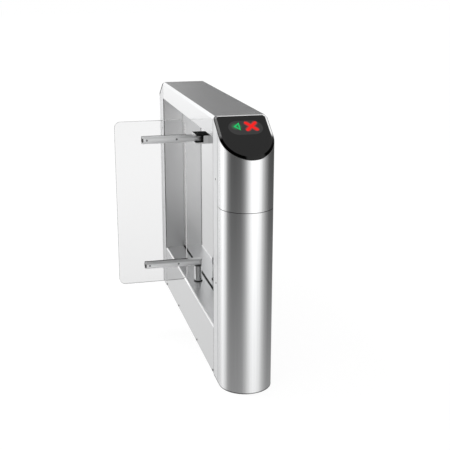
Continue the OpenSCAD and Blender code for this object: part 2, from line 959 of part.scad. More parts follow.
module wing_glass() {
    x0 = pivot_x - glass_outer;
    x1 = pivot_x - glass_inner;
    color(clear_glass) difference() {
        union() {
            box(x0 + glass_r, x1 - glass_r, -glass_t / 2, glass_t / 2, glass_z0, glass_z1);
            box(x0, x1, -glass_t / 2, glass_t / 2, glass_z0 + glass_r, glass_z1 - glass_r);
            for (x = [x0 + glass_r, x1 - glass_r], z = [glass_z0 + glass_r, glass_z1 - glass_r])
                translate([x, 0, z]) rotate([90, 0, 0])
                    cylinder(r = glass_r, h = glass_t, center = true);
        }
        wing_bolt_holes(glass_hole_r);
    }
}

// U-shaped rubber liners between the arms and the glass
module glass_gaskets() {
    color(rubber_black) difference() {
        for (z = [arm_low_z, arm_high_z]) translate([pivot_x, 0, z]) difference() {
            box(-arm_reach, -slot_end, -slot_t / 2, slot_t / 2, -liner_h / 2, liner_h / 2);
            box(-arm_reach - over, -glass_inner, -glass_t / 2, glass_t / 2, -liner_h, liner_h);
        }
        wing_bolt_holes(glass_hole_r);
    }
}

module arm_bolts() {
    color(dark_steel) for (z = [arm_low_z, arm_high_z], b = bolt_reach)
        translate([pivot_x - b, 0, z]) rotate([-90, 0, 0]) difference() {
            union() {
                rod(bolt_r, -bolt_sink, bolt_tip);
                rod(bolt_head_r, -bolt_sink - bolt_head_t, -bolt_sink);
            }
            translate([0, 0, -bolt_sink - bolt_head_t - over])
                cylinder(r = bolt_hex_r, h = over + bolt_hex_d, $fn = 6);
        }
}

module upper_arm_bush() {
    h = neck_h / 2;
    color(rubber_black) translate([pivot_x, 0, arm_high_z]) difference() {
        union() {
            rod(bush_r, -h, h);
            rod(bush_flange_r, h, h + bush_flange_t);
            rod(bush_flange_r, -h - bush_flange_t, -h);
        }
        rod(pin_d / 2 + run_gap, -arm_d, arm_d);
    }
}

// Door on the side away from the passage, hung on two pins in its rolled rear edge
module service_door() {
    y0 = -recess_y + door_gap / 2;
    color(steel) difference() {
        union() {
            box(in_w, half_w, y0, roll_y - door_notch, door_z0, door_z1);
            box(in_w, half_w, y0, roll_y, roll_z0, roll_z1);
            translate([roll_x, roll_y, 0]) rod(door_roll_r, roll_z0, roll_z1);
            box(in_w - return_w, in_w, y0, y0 + skin_t, door_ret_z0, door_ret_z1);
            for (z = [door_ret_z0, door_ret_z1 - skin_t])
                box(in_w - return_w, in_w, y0, roll_y - return_w * 2, z, z + skin_t);
        }
        translate([roll_x, roll_y, 0]) rod(door_pin_r + run_gap, roll_z0 - over, roll_z1 + over);
        for (z = lock_zs) translate([in_w - over, -recess_y + lock_y, z]) rotate([0, 90, 0])
            cylinder(r = lock_r, h = skin_t + over * 2);
    }
}

module door_pivot_brackets() {
    color(dark_steel) difference() {
        for (z = [base_t, ceiling_z - pivot_lug_t])
            box(roll_x - pivot_lug_in, roll_x + pivot_lug_out, roll_y - door_roll_r, recess_y,
                z, z + pivot_lug_t);
        translate([roll_x, roll_y, 0]) rod(door_pin_r + press_gap, base_t - over, cabinet_h);
    }
}

module door_pivot_pins() {
    color(steel) translate([roll_x, roll_y, 0]) {
        rod(door_pin_r, base_t, roll_z0 + door_pin_in);
        rod(door_pin_r, roll_z1 - door_pin_in, ceiling_z);
    }
}

module lock_place(z) {
    translate([0, -recess_y + lock_y, z]) rotate([0, 90, 0]) children();
}

// Lock barrels with their key slots, fixed in the door
module lock_barrels() {
    color(dark_steel) for (z = lock_zs) lock_place(z) difference() {
        union() {
            rod(lock_r - press_gap, cam_x, half_w);
            rod(lock_head_r, half_w, half_w + lock_head_t);
        }
        box(-key_w / 2, key_w / 2, -key_t / 2, key_t / 2, half_w + lock_head_t - key_d, cabinet_w);
    }
}

// Lock tongue, hanging down in its open position
module lock_cam(z) {
    color(steel) lock_place(z) {
        rod(cam_w / 2, cam_x - cam_t, cam_x);
        box(0, cam_l, -cam_w / 2, cam_w / 2, cam_x - cam_t, cam_x);
        rod(cam_screw_r, cam_x - cam_t - cam_screw_t, cam_x - cam_t);
    }
}

module upper_lock_cam() {
    lock_cam(lock_zs[1]);
}

module lower_lock_cam() {
    lock_cam(lock_zs[0]);
}

board_x = back_face + fit + skin_t + standoff_l;

module pcb_corners() {
    for (y = [-1, 1], z = [-1, 1]) translate([board_x - standoff_l - over / 2,
        pcb_y + y * (pcb_l / 2 - pcb_inset), plate_z + plate_h / 2 + z * (pcb_h / 2 - pcb_inset)])
            rotate([0, 90, 0]) children();
}

module electronics_plate() {
    x0 = back_face + fit;
    color(steel) {
        box(x0, x0 + skin_t, -plate_l / 2, plate_l / 2, plate_z, plate_z + plate_h);
        pcb_corners() cylinder(r = standoff_r, h = standoff_l + over / 2);
    }
}

module control_board() {
    zc = plate_z + plate_h / 2;
    x1 = board_x + board_t;
    color(board_green) {
        box(board_x, x1, pcb_y - pcb_l / 2, pcb_y + pcb_l / 2, zc - pcb_h / 2, zc + pcb_h / 2);
        for (i = [-2 : 2]) box(x1 - board_t / 2, x1 + relay_h, pcb_y + i * relay_w * 1.5 - relay_w / 2,
            pcb_y + i * relay_w * 1.5 + relay_w / 2, zc + plug_d, zc + plug_d + relay_w);
        box(x1 - board_t / 2, x1 + plug_d, pcb_y - pcb_l / 3, pcb_y + pcb_l / 3,
            zc - pcb_h / 2 + over, zc - pcb_h / 2 + over + plug_d);
    }
}

module power_supply() {
    x0 = back_face + fit + skin_t;
    zc = plate_z + plate_h / 2;
    color(steel) difference() {
        box(x0, x0 + psu_d, psu_y - psu_l / 2, psu_y + psu_l / 2, zc - psu_h / 2, zc + psu_h / 2);
        for (i = [0 : vents - 1]) box(x0 + psu_d - vent_d, x0 + psu_d + over, psu_y - vent_l / 2,
            psu_y + vent_l / 2, zc + (i * 2 - vents) * vent_w, zc + (i * 2 - vents + 1) * vent_w);
    }
}

base_plate();
front_column();
rear_column();
front_nose_lower();
front_nose_upper();
rear_nose_lower();
rear_nose_upper();
seam_bands();
top_cover();
recess_ceiling();
back_wall();
lower_cover();
floor_strip();
top_rails();
sill_rails();
panel_screws();
front_display_cover();
rear_display_cover();
display_frames();
led_boards();
arrow_lights();
cross_lights();
card_readers();
sensor_lenses();
sensor_bodies();
upper_bracket();
bracket_screws();
upper_pivot_pin();
post_collar();
drive_bridge();
bridge_posts();
bearing_cartridge();
shaft_bearings();
gearbox();
drive_motor();
stop_blocks();
stop_bumpers();
sensor_bracket();
position_sensor();
electronics_plate();
control_board();
power_supply();
door_pivot_brackets();
door_pivot_pins();
wing_glass();
upper_arm();
lower_arm();
glass_gaskets();
arm_bolts();
upper_arm_bush();
drive_post();
drive_shaft();
wing_gear();
stop_arm();
position_disc();
drive_pinion();
service_door();
lock_barrels();
upper_lock_cam();
lower_lock_cam();
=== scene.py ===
"""Swing turnstile: finishes, display panels, glass wing and studio over the CAD frame.

Every length is in metres and every piece is in the frame of the CAD model: the passage is at -X,
the front end at -Y and the floor at Z = 0.
"""
import math

import bpy
import numpy as np
from bpy.props import FloatProperty, FloatVectorProperty, IntProperty, PointerProperty
from bpy.types import Operator, Panel, PropertyGroup
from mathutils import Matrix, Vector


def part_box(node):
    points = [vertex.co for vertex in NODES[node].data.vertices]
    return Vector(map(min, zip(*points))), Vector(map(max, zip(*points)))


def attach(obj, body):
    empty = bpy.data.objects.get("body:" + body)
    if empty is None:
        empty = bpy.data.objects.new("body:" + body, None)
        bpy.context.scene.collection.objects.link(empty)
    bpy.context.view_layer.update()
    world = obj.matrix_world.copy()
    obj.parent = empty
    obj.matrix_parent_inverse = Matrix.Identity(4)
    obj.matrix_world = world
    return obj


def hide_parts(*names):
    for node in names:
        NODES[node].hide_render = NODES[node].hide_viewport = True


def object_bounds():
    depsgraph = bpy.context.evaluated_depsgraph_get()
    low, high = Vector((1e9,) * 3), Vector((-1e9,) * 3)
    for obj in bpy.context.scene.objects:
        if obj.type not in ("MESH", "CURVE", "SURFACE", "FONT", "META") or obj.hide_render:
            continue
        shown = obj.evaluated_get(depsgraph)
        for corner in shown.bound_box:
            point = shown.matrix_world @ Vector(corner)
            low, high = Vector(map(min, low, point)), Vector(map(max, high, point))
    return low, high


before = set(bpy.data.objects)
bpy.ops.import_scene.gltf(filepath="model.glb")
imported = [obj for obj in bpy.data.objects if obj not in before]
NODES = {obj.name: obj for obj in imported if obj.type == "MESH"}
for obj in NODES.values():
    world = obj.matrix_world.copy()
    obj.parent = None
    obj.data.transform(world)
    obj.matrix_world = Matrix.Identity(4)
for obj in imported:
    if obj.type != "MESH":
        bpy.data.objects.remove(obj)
CAD_BOX = [list(corner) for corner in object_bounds()]
# Height of the top, and the place of the outer skin on the passage side
TOP_Z = CAD_BOX[1][2]
SKIN_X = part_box("lower_cover")[0].x
# Run and fall of the slopes at both ends
SLOPE_RUN, SLOPE_FALL = 0.190, 0.124

bl_info = {
    "name": "Swing turnstile",
    "version": (1, 0, 0),
    "blender": (4, 5, 0),
    "location": "View3D > Sidebar > Turnstile",
    "description": "Finishes, display panels, glass wing and studio of a swing turnstile",
    "category": "Object",
}


class Num:
    """A value on its way through a node tree. Arithmetic on it adds Math nodes."""

    def __init__(self, tree, socket):
        self.tree, self.socket = tree, socket

    def math(self, operation, *others):
        return self.tree.node("ShaderNodeMath", {"operation": operation},
                              dict(enumerate((self, *others))))

    def __add__(self, other):
        return self.math("ADD", other)

    __radd__ = __add__

    def __mul__(self, other):
        return self.math("MULTIPLY", other)

    __rmul__ = __mul__

    def __sub__(self, other):
        return self.math("SUBTRACT", other)

    def __rsub__(self, other):
        return self.tree.node("ShaderNodeMath", {"operation": "SUBTRACT"}, {0: other, 1: self})

    def __truediv__(self, other):
        return self.math("DIVIDE", other)

    def __abs__(self):
        return self.math("ABSOLUTE")

    def at_least(self, other):
        return self.math("MAXIMUM", other)

    def at_most(self, other):
        return self.math("MINIMUM", other)

    def step(self, low, high, to_low=0.0, to_high=1.0):
        """Smooth step from to_low at low to to_high at high."""
        return self.tree.node("ShaderNodeMapRange", {"interpolation_type": "SMOOTHSTEP"},
                              {0: self, 1: low, 2: high, 3: to_low, 4: to_high})


class Tree:
    """A node tree that hands out its sockets as Num values."""

    def __init__(self, owner):
        owner.use_nodes = True
        self.nodes, self.links = owner.node_tree.nodes, owner.node_tree.links
        self.nodes.clear()

    def node(self, kind, settings=None, sockets=None, out=0):
        """Adds one node: its settings first, then a value or a link for each named socket."""
        made = self.nodes.new(kind)
        for name, value in (settings or {}).items():
            if name == "stops":
                ramp = made.color_ramp
                while len(ramp.elements) > 1:
                    ramp.elements.remove(ramp.elements[-1])
                for i, (place, shade) in enumerate(value):
                    stop = ramp.elements[0] if i == 0 else ramp.elements.new(place)
                    stop.position = place
                    stop.color = grey(shade)
            elif name == "interpolation":
                made.color_ramp.interpolation = value
            else:
                setattr(made, name, value)
        for name, value in (sockets or {}).items():
            if isinstance(value, Num):
                self.links.new(value.socket, made.inputs[name])
            else:
                made.inputs[name].default_value = value
        return Num(self, made.outputs[out]) if made.outputs else None

    def split(self, vector):
        """The x, y and z of a vector."""
        parts = self.node("ShaderNodeSeparateXYZ", sockets={0: vector}).socket.node.outputs
        return tuple(Num(self, part) for part in parts)

    def place(self):
        """Object coordinates: the point itself, and its x, y and z."""
        point = self.node("ShaderNodeTexCoord", out="Object")
        return (point, *self.split(point))

    def ray(self, kind):
        """1 on rays of the named kind and 0 on all others."""
        return self.node("ShaderNodeLightPath", out=f"Is {kind} Ray")

    def noise(self, point, waves, detail):
        """Noise from 0 to 1 with the given number of waves to a metre along each axis."""
        spread = self.node("ShaderNodeMapping", sockets={"Vector": point, "Scale": waves})
        return self.node("ShaderNodeTexNoise", sockets={"Vector": spread, "Scale": 1.0,
                                                        "Detail": detail})

    def blend(self, factor, first, second):
        """Colour from first to second as the factor goes from 0 to 1."""
        return self.node("ShaderNodeMix", {"data_type": "RGBA"},
                         {0: factor, 6: first, 7: second}, out=2)

    def surface(self, **sockets):
        """Adds the shader and the output; underscores in the names stand for spaces."""
        named = {name.replace("_", " "): value for name, value in sockets.items()}
        shader = self.node("ShaderNodeBsdfPrincipled", sockets=named)
        self.node("ShaderNodeOutputMaterial", sockets={"Surface": shader})


def new_material(name):
    made = bpy.data.materials.new(name)
    return made, Tree(made)


def dress(piece, *materials):
    """Puts the materials in a piece's slots."""
    piece.data.materials.clear()
    for made in materials:
        piece.data.materials.append(made)


def add_piece(context, name, points, faces):
    """Adds a piece at the origin from its points and the corners of its faces."""
    mesh = bpy.data.meshes.new(name)
    mesh.from_pydata(points, [], faces)
    piece = bpy.data.objects.new(name, mesh)
    context.collection.objects.link(piece)
    return piece


def ring_faces(rings, count):
    """Quads between neighbours on closed rings of points, from each ring to the next."""
    i = np.arange(rings - 1)[:, None] * count
    j = np.arange(count)[None, :]
    k = (j + 1) % count
    return np.stack([i + j, i + k, i + count + k, i + count + j], -1).reshape(-1, 4)


def grey(level):
    return (level, level, level, 1.0)


def scaled(colour, factor):
    return (colour[0] * factor, colour[1] * factor, colour[2] * factor, 1.0)


# Waves of the brushed grain to a metre along x, y and z: upright, along the cabinet, and along
# the arms
GRAIN_UP = (1400.0, 1400.0, 9.0)
GRAIN_ALONG = (1400.0, 9.0, 1400.0)
GRAIN_ARM = (9.0, 1400.0, 1400.0)
# Waves of the coarse grain as a share of the fine one's, and waves of the clouds to a metre
COARSE_SHARE = 0.16
CLOUD = (5.0, 5.0, 3.0)
# Darkest and palest tone of the brushing as a share of its colour, and how far the scratches and
# the clouds change its roughness
BRUSH_DARK, BRUSH_PALE, SCRATCH_GLOSS, CLOUD_GLOSS = 0.965, 1.03, 0.05, 0.06
# Tones of the marks painted on the steel: the pale one is a painted highlight, and the dark
# one stands for painted shade and for black parts
PAINTED_HIGHLIGHT, SHADE_AND_BLACK = grey(0.97), grey(0.02)


def brushed_steel(s, name, colour, rough, grain=GRAIN_UP, bump=0.05, marks=None, metallic=1.0):
    """Brushed sheet steel: long fine scratches and a slow cloudy change of gloss. Marks takes the
    settings and x, y and z, and gives how dark, how dull and how pale each spot is."""
    made, tree = new_material(name)
    point, *place = tree.place()
    scratch = tree.noise(point, grain, 3.0)
    coarse = tree.noise(point, tuple(waves * COARSE_SHARE for waves in grain), 2.0)
    cloud = tree.noise(point, CLOUD, 3.0)
    tone = (scratch * 0.5 + coarse * 0.5).step(0.3, 0.7)
    base = tree.blend(tone, scaled(colour, BRUSH_DARK), scaled(colour, BRUSH_PALE))
    gloss = rough + (scratch - 0.5) * SCRATCH_GLOSS + (cloud - 0.5) * CLOUD_GLOSS
    if marks:
        dark, dull, pale = marks(s, *place)
        # Painted shade, black parts and painted highlights from the marks go into the base colour
        base = tree.blend(dark, tree.blend(pale, base, PAINTED_HIGHLIGHT), SHADE_AND_BLACK)
        gloss = gloss + dull
    tree.surface(
        Base_Color=base,
        Metallic=metallic,
        Roughness=gloss,
        Normal=tree.node("ShaderNodeBump", sockets={"Strength": bump, "Distance": 0.0006,
                                                    "Height": scratch * 0.7 + coarse * 0.3}))
    return made


def plain_metal(name, colour, rough, metallic, fleck, bump):
    """Turned, cast, coated or painted metal: a fine fleck in its gloss and a mottled tone."""
    made, tree = new_material(name)
    point = tree.place()[0]
    grain = tree.noise(point, (fleck,) * 3, 4.0)
    patch = tree.noise(point, (14.0,) * 3, 3.0)
    tree.surface(
        Base_Color=tree.blend(patch.step(0.3, 0.7), scaled(colour, 0.9), scaled(colour, 1.08)),
        Metallic=metallic,
        Roughness=rough + (grain - 0.5) * 0.12 + (patch - 0.5) * 0.08,
        Normal=tree.node("ShaderNodeBump", sockets={"Strength": bump, "Distance": 0.0004,
                                                    "Height": grain}))
    return made


def soft_black(name, level, rough, fleck, bump):
    """Moulded black plastic or rubber: fine grain, and uneven gloss from dust."""
    made, tree = new_material(name)
    point = tree.place()[0]
    grain = tree.noise(point, (fleck,) * 3, 2.0)
    dust = tree.noise(point, (30.0,) * 3, 3.0)
    tree.surface(
        Base_Color=tree.blend(dust.step(0.35, 0.75), grey(level), grey(level * 1.7 + 0.006)),
        Roughness=rough + (grain - 0.5) * 0.14 + (dust - 0.5) * 0.1,
        Normal=tree.node("ShaderNodeBump", sockets={"Strength": bump, "Distance": 0.0003,
                                                    "Height": grain}))
    return made


class SteelSettings(PropertyGroup):
    """Sheet, arms and machined steel."""

    skin_colour: FloatVectorProperty(
        name="Skin colour", description="Colour of the cabinet's brushed sheet",
        default=(0.83, 0.835, 0.84), subtype="COLOR", min=0.0, max=1.0)
    skin_roughness: FloatProperty(
        name="Skin roughness", description="Roughness of the cabinet's brushed sheet",
        default=0.2, min=0.0, max=1.0)
    wall_roughness: FloatProperty(
        name="Back wall roughness", description="Roughness of the bright wall behind the recess",
        default=0.04, min=0.0, max=1.0)
    polished_colour: FloatVectorProperty(
        name="Polished colour", description="Colour of the polished post and bracket",
        default=(0.76, 0.765, 0.77), subtype="COLOR", min=0.0, max=1.0)
    satin_colour: FloatVectorProperty(
        name="Satin colour", description="Colour of the satin arms",
        default=(0.94, 0.945, 0.95), subtype="COLOR", min=0.0, max=1.0)
    satin_metallic: FloatProperty(
        name="Satin metallic", description="Metallic share of the satin arms and the bracket",
        default=0.25, min=0.0, max=1.0)
    arm_roughness: FloatProperty(
        name="Arm roughness", description="Roughness of the satin arms",
        default=0.35, min=0.0, max=1.0)
    post_roughness: FloatProperty(
        name="Post roughness", description="Roughness of the polished post",
        default=0.1, min=0.0, max=1.0)
    bracket_roughness: FloatProperty(
        name="Bracket roughness", description="Roughness of the polished upper bracket",
        default=0.04, min=0.0, max=1.0)
    wall_colour: FloatVectorProperty(
        name="Wall colour", description="Colour of the bright wall behind the recess",
        default=(0.74, 0.745, 0.75), subtype="COLOR", min=0.0, max=1.0)
    recess_y: FloatProperty(
        name="Recess end", description="Distance from the middle to the recess's end walls",
        default=0.510, unit="LENGTH", min=0.1, max=2.0)
    flank: FloatProperty(
        name="Flank length", description="Length of the flat flank between recess and nose",
        default=0.069, unit="LENGTH", min=0.01, max=0.3)
    arm_z: FloatProperty(
        name="Upper arm height", description="Height of the upper arm and its bracket",
        default=0.829, unit="LENGTH", min=0.3, max=1.2)
    ring_z: FloatProperty(
        name="Post ring", description="Height of the dark ring under the lower arm",
        default=0.270, unit="LENGTH", min=0.1, max=0.6)
    arm_mid: FloatProperty(
        name="Middle of the arms", description="Height halfway between the two arms",
        default=0.5595, unit="LENGTH", min=0.2, max=1.2)
    arm_half: FloatProperty(
        name="Half the arm spacing", description="Half the distance between the two arms",
        default=0.2695, unit="LENGTH", min=0.1, max=0.6)
    floor_z: FloatProperty(
        name="Recess floor", description="Height of the recess floor", default=0.2,
        unit="LENGTH", min=0.05, max=0.5)


class DisplaySettings(PropertyGroup):
    """Black panels on the slopes and their lit signs."""

    slope: FloatProperty(
        name="Slope", description="Slope of the display panels", subtype="ANGLE",
        default=math.atan(SLOPE_FALL / SLOPE_RUN), min=0.1, max=1.2)
    start: FloatProperty(
        name="Slope start", description="Distance from the middle to the top edge of each slope",
        default=0.510, unit="LENGTH", min=0.1, max=2.0)
    thickness: FloatProperty(
        name="Panel thickness", description="Thickness of the black panels", default=0.005,
        unit="LENGTH", min=0.001, max=0.02)
    roughness: FloatProperty(
        name="Panel roughness", description="Roughness of the black panels", default=0.16,
        min=0.0, max=1.0)
    panel_level: FloatProperty(
        name="Panel tone", description="Tone of the black panels", default=0.02, min=0.0, max=1.0)
    window_level: FloatProperty(
        name="Window tone", description="Tone of the window in front of the signs",
        default=0.046, min=0.0, max=1.0)
    green: FloatVectorProperty(
        name="Arrow colour", description="Light of the arrow sign", default=(0.01, 0.55, 0.14),
        subtype="COLOR", min=0.0, max=1.0)
    red: FloatVectorProperty(
        name="Cross colour", description="Light of the cross sign", default=(1.0, 0.012, 0.01),
        subtype="COLOR", min=0.0, max=1.0)
    arrow_strength: FloatProperty(
        name="Arrow strength", description="Strength of the arrow's light", default=1.1,
        min=0.0, max=5.0)
    cross_strength: FloatProperty(
        name="Cross strength", description="Strength of the cross's light", default=1.0,
        min=0.0, max=5.0)
    glow: FloatProperty(
        name="Glow", description="Strength of the haze round the lit signs", default=0.5,
        min=0.0, max=5.0)


class WingSettings(PropertyGroup):
    """Glass pane of the wing."""

    arris: FloatProperty(
        name="Arris", description="Width of the polished bevel round the pane", default=0.0012,
        unit="LENGTH", min=0.0001, max=0.005)
    face_inset: FloatProperty(
        name="Face inset", description="Distance from the outline to the inner part of each face",
        default=0.004, unit="LENGTH", min=0.001, max=0.02)
    corner: FloatProperty(
        name="Corner radius", description="Radius of the pane's corners", default=0.025,
        unit="LENGTH", min=0.001, max=0.1)
    corner_steps: IntProperty(
        name="Corner steps", description="Straight pieces in each round corner", default=24,
        min=4, max=64)
    tint: FloatVectorProperty(
        name="Tint", description="Colour that the glass gives to what is behind it",
        default=(0.87, 0.87, 0.872), subtype="COLOR", min=0.0, max=1.0)


class CapSettings(PropertyGroup):
    """Domed caps over the screws of the lower cover."""

    radius: FloatProperty(
        name="Cap radius", description="Radius of each cap", default=0.0044, unit="LENGTH",
        min=0.003, max=0.01)
    height: FloatProperty(
        name="Cap height", description="How far each cap stands out", default=0.0024,
        unit="LENGTH", min=0.001, max=0.01)
    inner: FloatProperty(
        name="Inner caps", description="Distance of the two inner caps from the middle",
        default=0.1989, unit="LENGTH", min=0.02, max=1.0)
    head: FloatProperty(
        name="Screw head", description="Radius of the screw heads under the caps",
        default=0.004, unit="LENGTH", min=0.001, max=0.01)
    rings: IntProperty(
        name="Rings", description="Rings of points from foot to tip", default=7, min=3, max=24)
    sides: IntProperty(
        name="Sides", description="Points in each ring", default=28, min=8, max=64)


class StudioSettings(PropertyGroup):
    """Camera, floor and light."""

    camera_place: FloatVectorProperty(
        name="Camera place", description="Where the camera stands",
        default=(-0.7819, -3.4650, 1.4844), subtype="TRANSLATION", unit="LENGTH")
    camera_turn: FloatProperty(
        name="Camera turn", description="Turn of the camera from +Y towards +X",
        default=math.radians(13.848), subtype="ANGLE")
    camera_drop: FloatProperty(
        name="Camera drop", description="Angle of the camera below the horizon",
        default=math.radians(16.262), subtype="ANGLE")
    camera_lens: FloatProperty(
        name="Lens", description="Focal length in millimetres on a 36 mm sensor", default=69.1,
        min=10.0, max=300.0)
    floor_size: FloatProperty(
        name="Floor size", description="Side of the square floor", default=60.0, unit="LENGTH",
        min=4.0, max=200.0)
    floor_glow: FloatProperty(
        name="Floor glow", description="Share of the floor's white that no shadow darkens",
        default=0.74, min=0.0, max=1.0)
    floor_white: FloatProperty(
        name="Floor white", description="Strength of the floor's white that no shadow darkens",
        default=1.16, min=0.0, max=5.0)
    floor_tone: FloatProperty(
        name="Floor tone", description="Tone of the floor where shadows fall", default=0.8,
        min=0.0, max=1.0)
    diffuse_light: FloatProperty(
        name="Room light", description="Strength of the even light on dull surfaces",
        default=0.75, min=0.0, max=5.0)
    mirror_light: FloatProperty(
        name="Room in mirrors", description="Strength of the room's bands in polished surfaces",
        default=0.8, min=0.0, max=5.0)
    lamp_power: FloatProperty(
        name="Lamp power", description="Power of the soft box over the left side",
        default=36.0, unit="POWER", min=0.0, max=500.0)


# Light of the room at the height of the horizon, by the angle from -Y towards +X in degrees
ROOM_BANDS = (
    (-180, 0.8), (-168, 1.0), (-150, 1.25), (-128, 1.8), (-110, 1.15), (-95, 0.27), (-79, 0.095),
    (-62, 0.085), (-50, 0.095), (-37, 0.105), (-26, 0.225), (-15, 0.53), (-3, 1.1), (9, 1.7),
    (22, 1.85), (35, 1.75), (48, 1.45), (62, 0.78), (78, 0.34), (96, 0.1), (128, 0.08),
    (150, 0.15), (166, 0.25), (173, 0.52), (180, 0.8))
# Highest light that the ramp of the bands can hold
BAND_TOP = 2.0
# Zones of the room by the z of a view's direction, each from where it begins to where it is full
LOW_ZONE, UPPER_ZONE, ROOF_ZONE = (-0.15, -0.6), (0.29, 0.36), (0.56, 0.8)
# Share of the bands that fades out towards the floor, and the floor's own light
LOW_FADE, LOW_LIGHT = 0.66, 0.47
# Soft patch of light just below the horizon, at the back of the passage side: its edges by x, y
# and z, and its light
PATCH_X, PATCH_Y, PATCH_Z, PATCH_LIGHT = (-0.04, -0.16), (0.7, 0.9), (-0.3, -0.05), 0.45
# Light of the upper zone and of the roof: the y where it starts and ends to change, and the light
# at each of the two
UPPER_LIGHT, ROOF_LIGHT = (0.15, 0.45, 0.6, 1.4), (-0.3, 0.2, 0.38, 0.26)


class TURNSTILE_OT_stage(Operator):
    """Make the camera, the white floor, the room's light and the soft box."""

    bl_idname = "turnstile.stage"
    bl_label = "Studio"

    def execute(self, context):
        s = context.scene.turnstile_studio
        self.camera(context, s)
        self.floor(context, s)
        self.room(context, s)
        self.lamp(context, s)
        context.scene.view_settings.view_transform = "Standard"
        return {"FINISHED"}

    def camera(self, context, s):
        """The camera of the photo, without any roll."""
        lens = bpy.data.cameras.new("studio_camera")
        lens.sensor_width, lens.lens = 36.0, s.camera_lens
        lens.clip_start, lens.clip_end = 0.05, 200.0
        camera = bpy.data.objects.new("studio_camera", lens)
        camera.location = s.camera_place
        camera.rotation_euler = (math.pi / 2 - s.camera_drop, 0.0, -s.camera_turn)
        context.collection.objects.link(camera)
        context.scene.camera = camera

    def floor(self, context, s):
        """White towards the camera, plain where it lights the part, and clear in mirrors."""
        half = s.floor_size / 2
        corners = [(-half, -half, 0), (half, -half, 0), (half, half, 0), (-half, half, 0)]
        floor = add_piece(context, "studio_floor", corners, [(0, 1, 2, 3)])
        made, tree = new_material("floor_white")
        through = tree.ray("Transmission")
        seen = tree.ray("Camera").at_least(through)
        dull = tree.node("ShaderNodeBsdfDiffuse", sockets={"Color": grey(s.floor_tone)})
        white = tree.node("ShaderNodeEmission", sockets={"Color": grey(1.0),
                                                         "Strength": s.floor_white})
        lit = tree.node("ShaderNodeMixShader", sockets={0: s.floor_glow, 1: dull, 2: white})
        hidden = tree.node("ShaderNodeBsdfTransparent")
        shown = tree.node("ShaderNodeMixShader", sockets={0: seen, 1: dull, 2: lit})
        mirror = tree.ray("Glossy") * (1.0 - through)
        every = tree.node("ShaderNodeMixShader", sockets={0: mirror, 1: shown, 2: hidden})
        tree.node("ShaderNodeOutputMaterial", sockets={"Surface": every})
        dress(floor, made)

    def room(self, context, s):
        """Bands of light round the horizon, a floor zone below and an upper zone and roof above,
        for mirrors; even light for dull surfaces, and plain white for the camera."""
        world = bpy.data.worlds.new("studio_room")
        context.scene.world = world
        tree = Tree(world)
        x, y, z = tree.split(tree.node("ShaderNodeTexCoord", out="Generated"))
        turn = x.math("ARCTAN2", y * -1.0) / (2 * math.pi) + 0.5
        stops = [(angle / 360 + 0.5, light / BAND_TOP) for angle, light in ROOM_BANDS]
        bands = tree.node("ShaderNodeValToRGB", {"interpolation": "EASE", "stops": stops},
                          {0: turn}) * BAND_TOP
        low, upper, roof = z.step(*LOW_ZONE), z.step(*UPPER_ZONE), z.step(*ROOF_ZONE)
        light = bands * (1.0 - low * LOW_FADE) + low * LOW_LIGHT
        light = light + z.step(*PATCH_Z) * y.step(*PATCH_Y) * x.step(*PATCH_X) * PATCH_LIGHT
        light = light * (1.0 - upper) + upper * y.step(*UPPER_LIGHT)
        light = light * (1.0 - roof) + roof * y.step(*ROOF_LIGHT)
        camera = tree.ray("Camera").at_least(tree.ray("Transmission"))
        dull = tree.ray("Diffuse")
        light = light * s.mirror_light * (1.0 - dull) + dull * s.diffuse_light
        light = light * (1.0 - camera) + camera
        shade = tree.node("ShaderNodeBackground", sockets={"Color": grey(1.0),
                                                           "Strength": light})
        tree.node("ShaderNodeOutputWorld", sockets={"Surface": shade})

    def lamp(self, context, s):
        """Soft box above the passage side, which mirrors don't show."""
        light = bpy.data.lights.new("soft_box", "AREA")
        light.shape, light.size, light.size_y = "RECTANGLE", 1.6, 1.2
        light.energy = s.lamp_power
        lamp = bpy.data.objects.new("soft_box", light)
        lamp.location = (-1.9, 0.9, 3.4)
        lamp.rotation_euler = (math.radians(-14), math.radians(-28), 0.0)
        lamp.visible_glossy = False
        context.collection.objects.link(lamp)


# Marks painted on the steel follow edges of the pieces; most of them are painted shade and painted
# highlights. Each pair below runs in metres from where a mark begins to where it is full: OUT past
# the recess's ends, DEPTH behind the skin on the passage side, UNDER from the back of a display
# panel, LIFT from the middle of an arm, DROP from the height that the settings give, HEIGHT from
# the floor, WIDTH from a line's own middle, SIDE and END along x, and FACE along y.
WALL_OUT = (0.003, 0.001)
FOLD_OUT, FOLD_DEPTH = (0.0045, 0.002), (0.0045, 0.0025)
SHADOW_UNDER, SHADOW_OUT, SHADOW_SIDE = (-0.0025, -0.0005), (0.0, 0.004), (0.06, 0.03)
FOOT_HEIGHT = (0.0055, 0.003)
FLANK_DEPTH, JOINT_WIDTH = (0.0015, 0.0005), (0.0026, 0.001)
SILL_DEPTH, SILL_DROP = (0.0055, 0.0085), (-0.001, -0.0003)
LIP_DEPTH, LIP_DROP = (0.0065, 0.0045), (-0.006, -0.003)
CORNER_OUT, WALL_SIDE = (-0.016, -0.004), (-0.0076, -0.007)
RING_DROP = (-0.0015, 0.0)
PAD_LIFT, PAD_SIDE = (0.0137, 0.0141), (-0.0598, -0.0588)
INNER_BLACK_LIFT, INNER_BLACK_SIDE = (0.0146, 0.0142), (-0.0274, -0.0278)
BRACKET_HIGHLIGHT_FACE = (-0.0364, -0.0368)
SLOT_LIFT, SLOT_END = (0.0085, 0.007), (-0.2735, -0.2745)
SHADE_LIFT = (0.0015, 0.0085)
# From halfway towards one side: along y to the two ends, and along z to the lower arm
FRONT_END, REAR_END, LOWER_ARM = (0.0, -0.1), (0.0, 0.1), (0.1, -0.1)
# How much thicker the painted shadow is under the rear panel
REAR_SHADOW = 0.006
# How far the flanks' dull finish fades into the noses, in lengths of a flank from the recess
FLANK_FADE = 1.5
